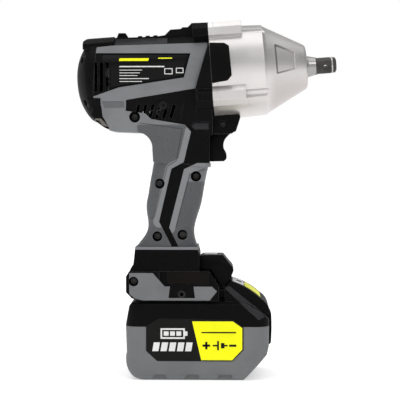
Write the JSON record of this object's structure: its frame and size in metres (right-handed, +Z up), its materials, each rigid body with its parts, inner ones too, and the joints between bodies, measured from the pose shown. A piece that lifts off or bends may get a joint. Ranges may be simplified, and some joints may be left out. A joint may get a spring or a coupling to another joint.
{
  "type": "impact wrench",
  "caption": "Cordless pistol-grip impact wrench with a square drive, slide-on battery, trigger and cast hammer case.",
  "frame": {"origin": "middle of the battery's flat bottom, where the tool stands", "axes": "+X towards the drive, +Z up, +Y to the left of a person holding the tool"},
  "size_m": [0.2397, 0.09, 0.325],
  "materials": {
    "cast_aluminium": "satin cast",
    "drive_steel": "dark phosphated",
    "bright_steel": "ground",
    "spring_steel": "drawn",
    "bronze": "sintered",
    "black_rubber": "fine texture",
    "black_plastic": "spark texture",
    "grey_plastic": "spark texture",
    "black_steel": "blackened",
    "lamination": "stacked sheet",
    "copper": "enamelled wire",
    "board_green": "solder mask",
    "button_dark": "fine texture",
    "white_plastic": "smooth",
    "lens": "clear moulded",
    "gauge_grey": "smooth",
    "cell_wrap": "shrink wrap",
    "potting": "potted"
  },
  "bodies": {
    "tool": {"hammer_case": "cast_aluminium", "nose_bush": "bronze", "nose_seal": "black_rubber", "thrust_washer": "bright_steel", "ring_gear": "drive_steel", "gearbox_plate": "cast_aluminium", "spindle_bearing": "bright_steel", "case_screws": "black_steel", "stator_core": "lamination", "stator_coils": "copper", "hall_board": "board_green", "front_motor_bearing": "bright_steel", "rear_motor_bearing": "bright_steel", "right_frame": "grey_plastic", "left_frame": "grey_plastic", "right_grip_front": "grey_plastic", "left_grip_front": "grey_plastic", "right_housing": "black_plastic", "left_housing": "black_plastic", "rear_cover": "black_plastic", "rear_cover_screws": "black_steel", "housing_screws": "black_steel", "right_case_guard": "black_rubber", "left_case_guard": "black_rubber", "trigger_spring": "spring_steel", "switch_module": "potting", "work_light": "lens", "mode_panel": "black_plastic", "control_board": "potting", "terminal_block": "potting", "right_foot_plate": "grey_plastic", "left_foot_plate": "grey_plastic", "hook_inserts": "black_steel"},
    "rotor": {"rotor_shaft": "bright_steel", "rotor_core": "lamination", "cooling_fan": "black_plastic"},
    "spindle": {"spindle": "bright_steel", "planet_pins": "bright_steel", "spring_washer": "bright_steel", "cam_balls": "bright_steel", "hammer_spring": "spring_steel"},
    "planet_1": {"planet_gear_1": "bright_steel"},
    "planet_2": {"planet_gear_2": "bright_steel"},
    "planet_3": {"planet_gear_3": "bright_steel"},
    "hammer": {"hammer": "drive_steel"},
    "anvil": {"anvil": "drive_steel", "friction_ring": "spring_steel"},
    "trigger": {"trigger": "black_plastic"},
    "direction_button": {"direction_button": "button_dark"},
    "mode_button": {"mode_button": "white_plastic"},
    "battery": {"battery_lower_case": "grey_plastic", "battery_upper_case": "black_plastic", "battery_cells": "cell_wrap", "cell_holder": "black_plastic", "battery_board": "board_green", "release_spring": "spring_steel", "gauge_window": "gauge_grey", "battery_screws": "black_steel"},
    "release_button": {"release_button": "button_dark"},
    "gauge_button": {"gauge_button": "button_dark"}
  },
  "joints": [
    {"name": "spindle_spin", "type": "hinge", "parent": "tool", "child": "spindle", "pos_m": [0.03989, 0, 0.28063], "axis": [0.9973, 0, 0.0732], "continuous": true},
    {"name": "rotor_spin", "type": "hinge", "parent": "tool", "child": "rotor", "pos_m": [-0.04987, 0, 0.27404], "axis": [0.9973, 0, 0.0732], "continuous": true},
    {"name": "anvil_spin", "type": "hinge", "parent": "tool", "child": "anvil", "pos_m": [0.08976, 0, 0.28429], "axis": [0.9973, 0, 0.0732], "continuous": true},
    {"name": "planet_1_spin", "type": "hinge", "parent": "spindle", "child": "planet_1", "pos_m": [0.02711, 0, 0.29774], "axis": [0.9973, 0, 0.0732], "continuous": true},
    {"name": "planet_2_spin", "type": "hinge", "parent": "spindle", "child": "planet_2", "pos_m": [0.02908, -0.01559, 0.27081], "axis": [0.9973, 0, 0.0732], "continuous": true},
    {"name": "planet_3_spin", "type": "hinge", "parent": "spindle", "child": "planet_3", "pos_m": [0.02908, 0.01559, 0.27081], "axis": [0.9973, 0, 0.0732], "continuous": true},
    {"name": "hammer_retract", "type": "slide", "parent": "spindle", "child": "hammer", "axis": [-0.9973, 0, -0.0732], "range_m": [0, 0.008], "stiffness_N_per_m": 9000, "springref_m": -0.002, "deforming": ["hammer_spring"]},
    {"name": "trigger_pull", "type": "slide", "parent": "tool", "child": "trigger", "axis": [-1, 0, 0], "range_m": [0, 0.007], "stiffness_N_per_m": 900, "springref_m": -0.002, "deforming": ["trigger_spring"]},
    {"name": "direction_slide", "type": "slide", "parent": "tool", "child": "direction_button", "axis": [0, -1, 0], "range_m": [-0.003, 0.003]},
    {"name": "mode_press", "type": "slide", "parent": "tool", "child": "mode_button", "axis": [0, 0, -1], "range_m": [0, 0.0008], "stiffness_N_per_m": 1500, "springref_m": -0.0004},
    {"name": "battery_release", "type": "slide", "parent": "tool", "child": "battery", "axis": [1, 0, 0], "range_m": [0, 0.09]},
    {"name": "release_press", "type": "slide", "parent": "battery", "child": "release_button", "axis": [-1, 0, 0], "range_m": [0, 0.003], "stiffness_N_per_m": 2500, "springref_m": -0.001, "deforming": ["release_spring"]},
    {"name": "gauge_press", "type": "slide", "parent": "battery", "child": "gauge_button", "axis": [-0.3932, 0, -0.9195], "range_m": [0, 0.0008], "stiffness_N_per_m": 1500, "springref_m": -0.0004}
  ],
  "couplings": [
    {"joint": "rotor_spin", "follows": "spindle_spin", "ratio": 5},
    {"joint": "anvil_spin", "follows": "spindle_spin", "ratio": 1},
    {"joint": "planet_1_spin", "follows": "spindle_spin", "ratio": -2.6667},
    {"joint": "planet_2_spin", "follows": "spindle_spin", "ratio": -2.6667},
    {"joint": "planet_3_spin", "follows": "spindle_spin", "ratio": -2.6667}
  ]
}
